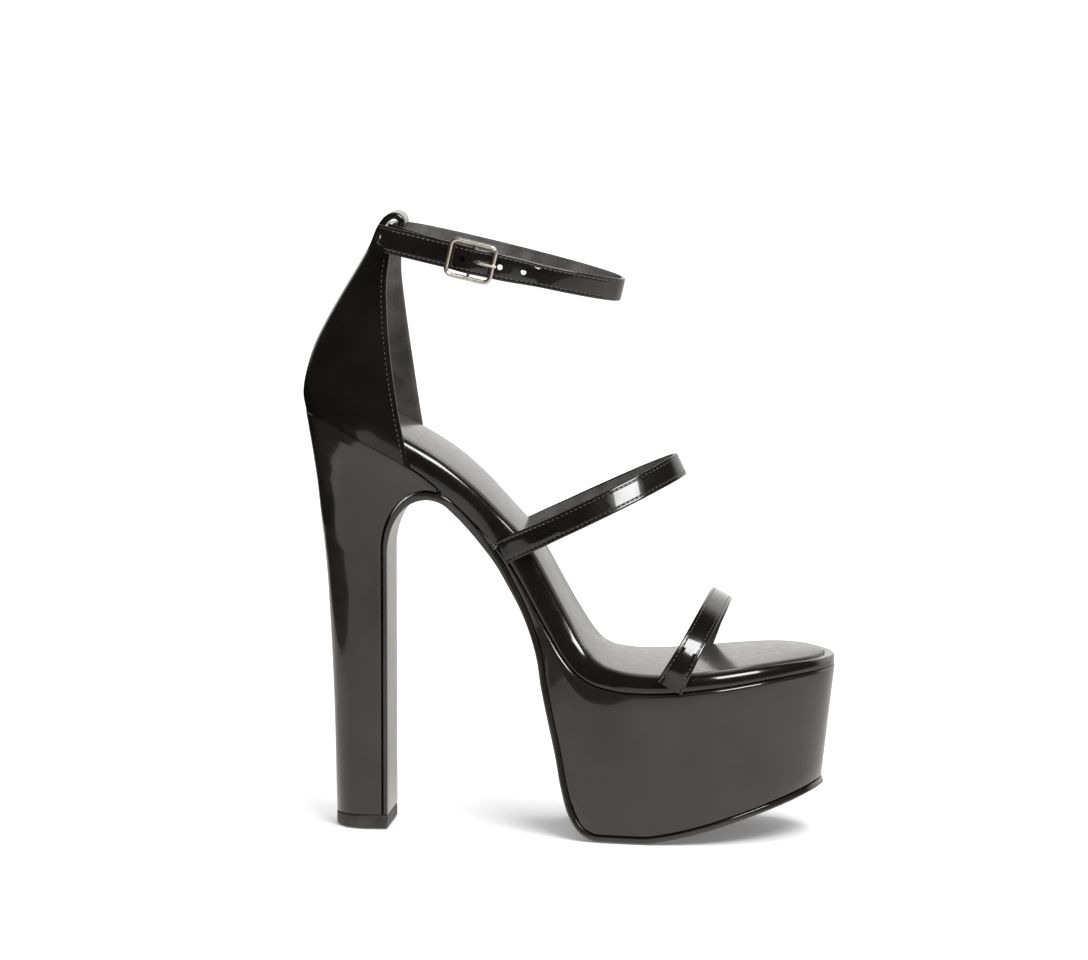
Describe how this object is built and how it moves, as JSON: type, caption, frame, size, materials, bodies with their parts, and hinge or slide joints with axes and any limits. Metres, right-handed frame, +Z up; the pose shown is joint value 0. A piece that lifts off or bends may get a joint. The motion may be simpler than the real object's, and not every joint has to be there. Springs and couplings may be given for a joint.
{
  "type": "platform_heel_sandal",
  "caption": "A high platform sandal in black patent leather, with a tall block heel, a closed heel counter, thin straps over toes and instep, and a buckled ankle strap.",
  "frame": {"origin": "The middle of the shoe's footprint, on the ground.", "axes": "+X points to the toe, +Y to the inner side of the foot, +Z up, in metres."},
  "size_m": [0.201, 0.0828, 0.2324],
  "materials": {
    "patent_cover": "glossy",
    "sock_lining": "satin",
    "sole_rubber": "matte",
    "buckle_metal": "polished"
  },
  "bodies": {
    "root": {"outsole": "sole_rubber", "platform": "patent_cover", "insole": "patent_cover", "sock": "sock_lining", "heel": "patent_cover", "top_piece": "sole_rubber", "heel_cup": "patent_cover", "instep_strap": "patent_cover", "toe_strap": "patent_cover", "ankle_strap": "patent_cover", "buckle_frame": "buckle_metal", "buckle_prong": "buckle_metal"}
  },
  "joints": []
}
